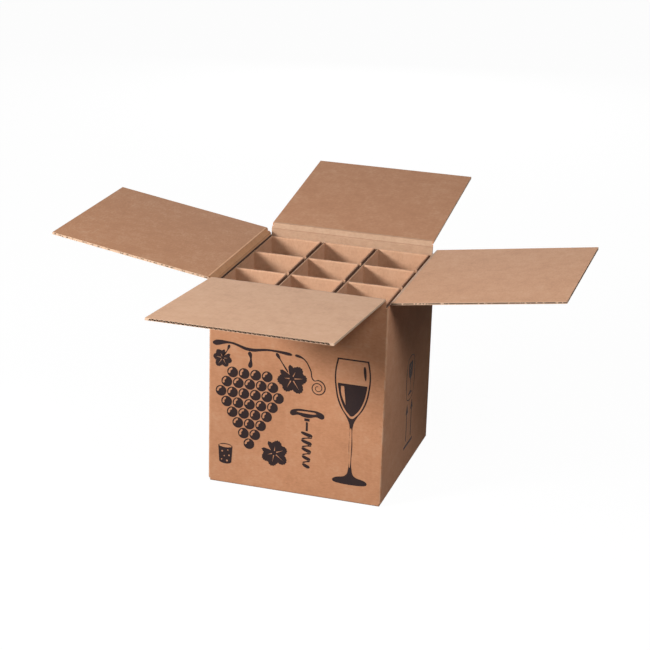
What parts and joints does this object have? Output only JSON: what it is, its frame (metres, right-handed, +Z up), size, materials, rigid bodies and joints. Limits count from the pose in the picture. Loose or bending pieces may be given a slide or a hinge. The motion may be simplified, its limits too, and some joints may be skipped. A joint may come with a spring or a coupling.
{
  "type": "bottle shipping carton",
  "caption": "Open corrugated shipping carton with full-length hinged top flaps and folded cell inserts that hold bottles upright.",
  "frame": {"origin": "middle of the closed bottom, on the floor", "axes": "+Z up; -Y is the printed front, +X the side with the handling symbols"},
  "size_m": [0.9137, 0.9155, 0.4358],
  "materials": {
    "outer_board": "matte kraft liner",
    "insert_board": "matte kraft liner"
  },
  "bodies": {
    "carton": {"carton_body": "outer_board", "insert_left": "insert_board", "insert_middle": "insert_board", "insert_right": "insert_board"},
    "flap_front": {"flap_front": "outer_board"},
    "flap_back": {"flap_back": "outer_board"},
    "flap_left": {"flap_left": "outer_board"},
    "flap_right": {"flap_right": "outer_board"}
  },
  "joints": [
    {"name": "front_crease", "type": "hinge", "parent": "carton", "child": "flap_front", "pos_m": [0, -0.16015, 0.3806], "axis": [-1, 0, 0], "range_deg": [-90, 175]},
    {"name": "back_crease", "type": "hinge", "parent": "carton", "child": "flap_back", "pos_m": [0, 0.16015, 0.3849], "axis": [1, 0, 0], "range_deg": [-94, 171]},
    {"name": "left_crease", "type": "hinge", "parent": "carton", "child": "flap_left", "pos_m": [-0.16015, 0, 0.3763], "axis": [0, 1, 0], "range_deg": [-94, 171]},
    {"name": "right_crease", "type": "hinge", "parent": "carton", "child": "flap_right", "pos_m": [0.16015, 0, 0.372], "axis": [0, -1, 0], "range_deg": [-93, 172]}
  ]
}
